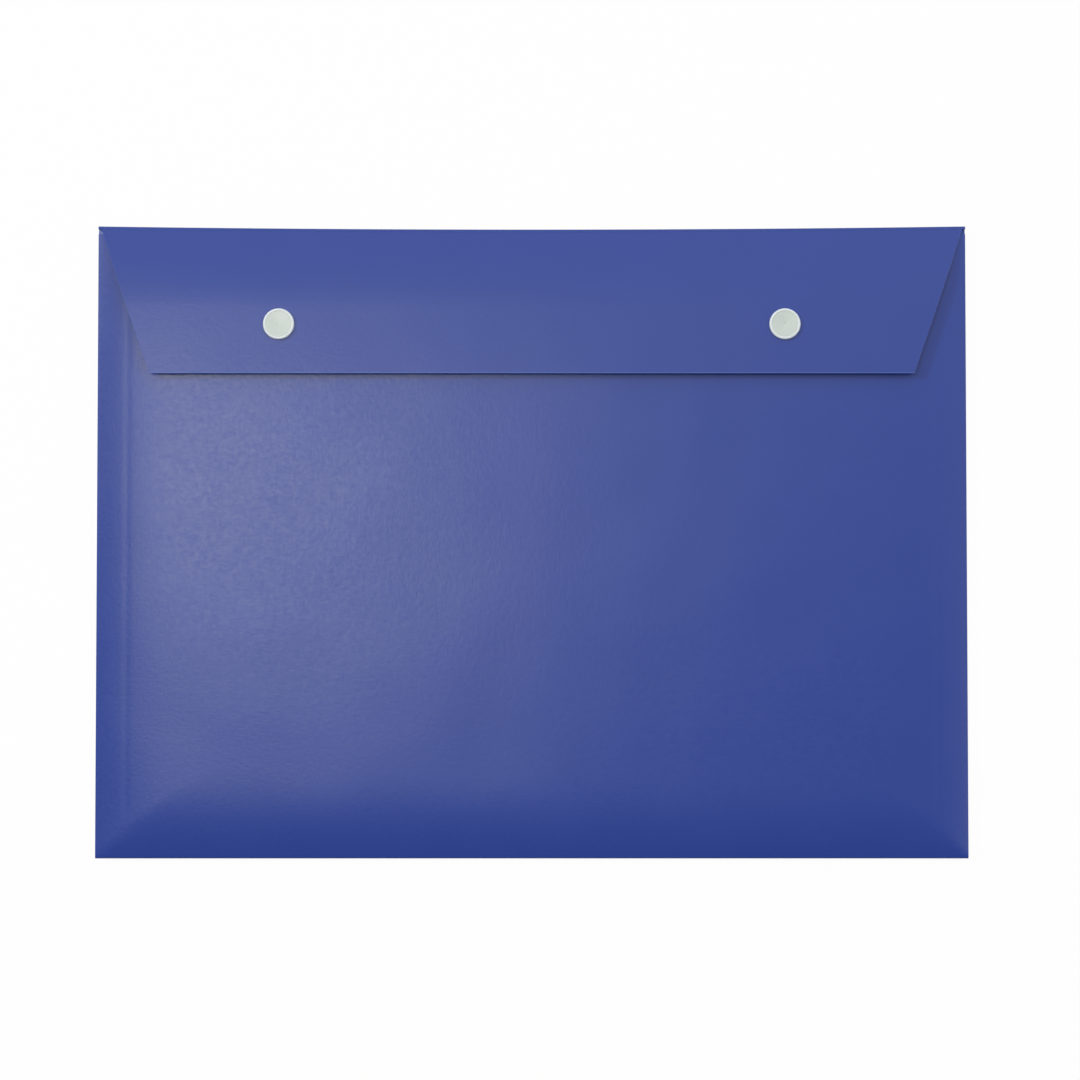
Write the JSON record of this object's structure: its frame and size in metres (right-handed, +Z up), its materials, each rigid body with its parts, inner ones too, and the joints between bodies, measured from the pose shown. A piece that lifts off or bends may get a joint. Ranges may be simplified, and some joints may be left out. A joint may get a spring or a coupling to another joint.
{
  "type": "document wallet",
  "caption": "Flat A4 pocket folded from one sheet of blue plastic, with a wide tapered flap closed by two round white press studs.",
  "frame": {"origin": "centre of the footprint, on the surface the wallet lies on", "axes": "+X to the right across the wallet, +Y from the bottom fold to the flap's crease, +Z up out of the front, towards whoever reads it"},
  "size_m": [0.33, 0.24, 0.0111],
  "materials": {
    "blue_sheet": "opaque polypropylene sheet with a fine matt grain",
    "white_stud": "milky, slightly translucent moulded plastic, satin gloss"
  },
  "bodies": {
    "pocket": {"back_panel": "blue_sheet", "front_panel": "blue_sheet", "bottom_fold": "blue_sheet", "side_tab_left": "blue_sheet", "side_tab_right": "blue_sheet", "flap_crease": "blue_sheet", "pocket_stud_left": "white_stud", "pocket_stud_right": "white_stud", "pocket_cap_left": "white_stud", "pocket_cap_right": "white_stud"},
    "flap": {"flap": "blue_sheet", "flap_cap_left": "white_stud", "flap_cap_right": "white_stud", "flap_socket_left": "white_stud", "flap_socket_right": "white_stud"}
  },
  "joints": [
    {"name": "flap_hinge", "type": "hinge", "parent": "pocket", "child": "flap", "pos_m": [0, 0.1191, 0.0034], "axis": [-1, 0, 0], "range_deg": [0, 165], "deforming": ["flap_crease"]}
  ]
}
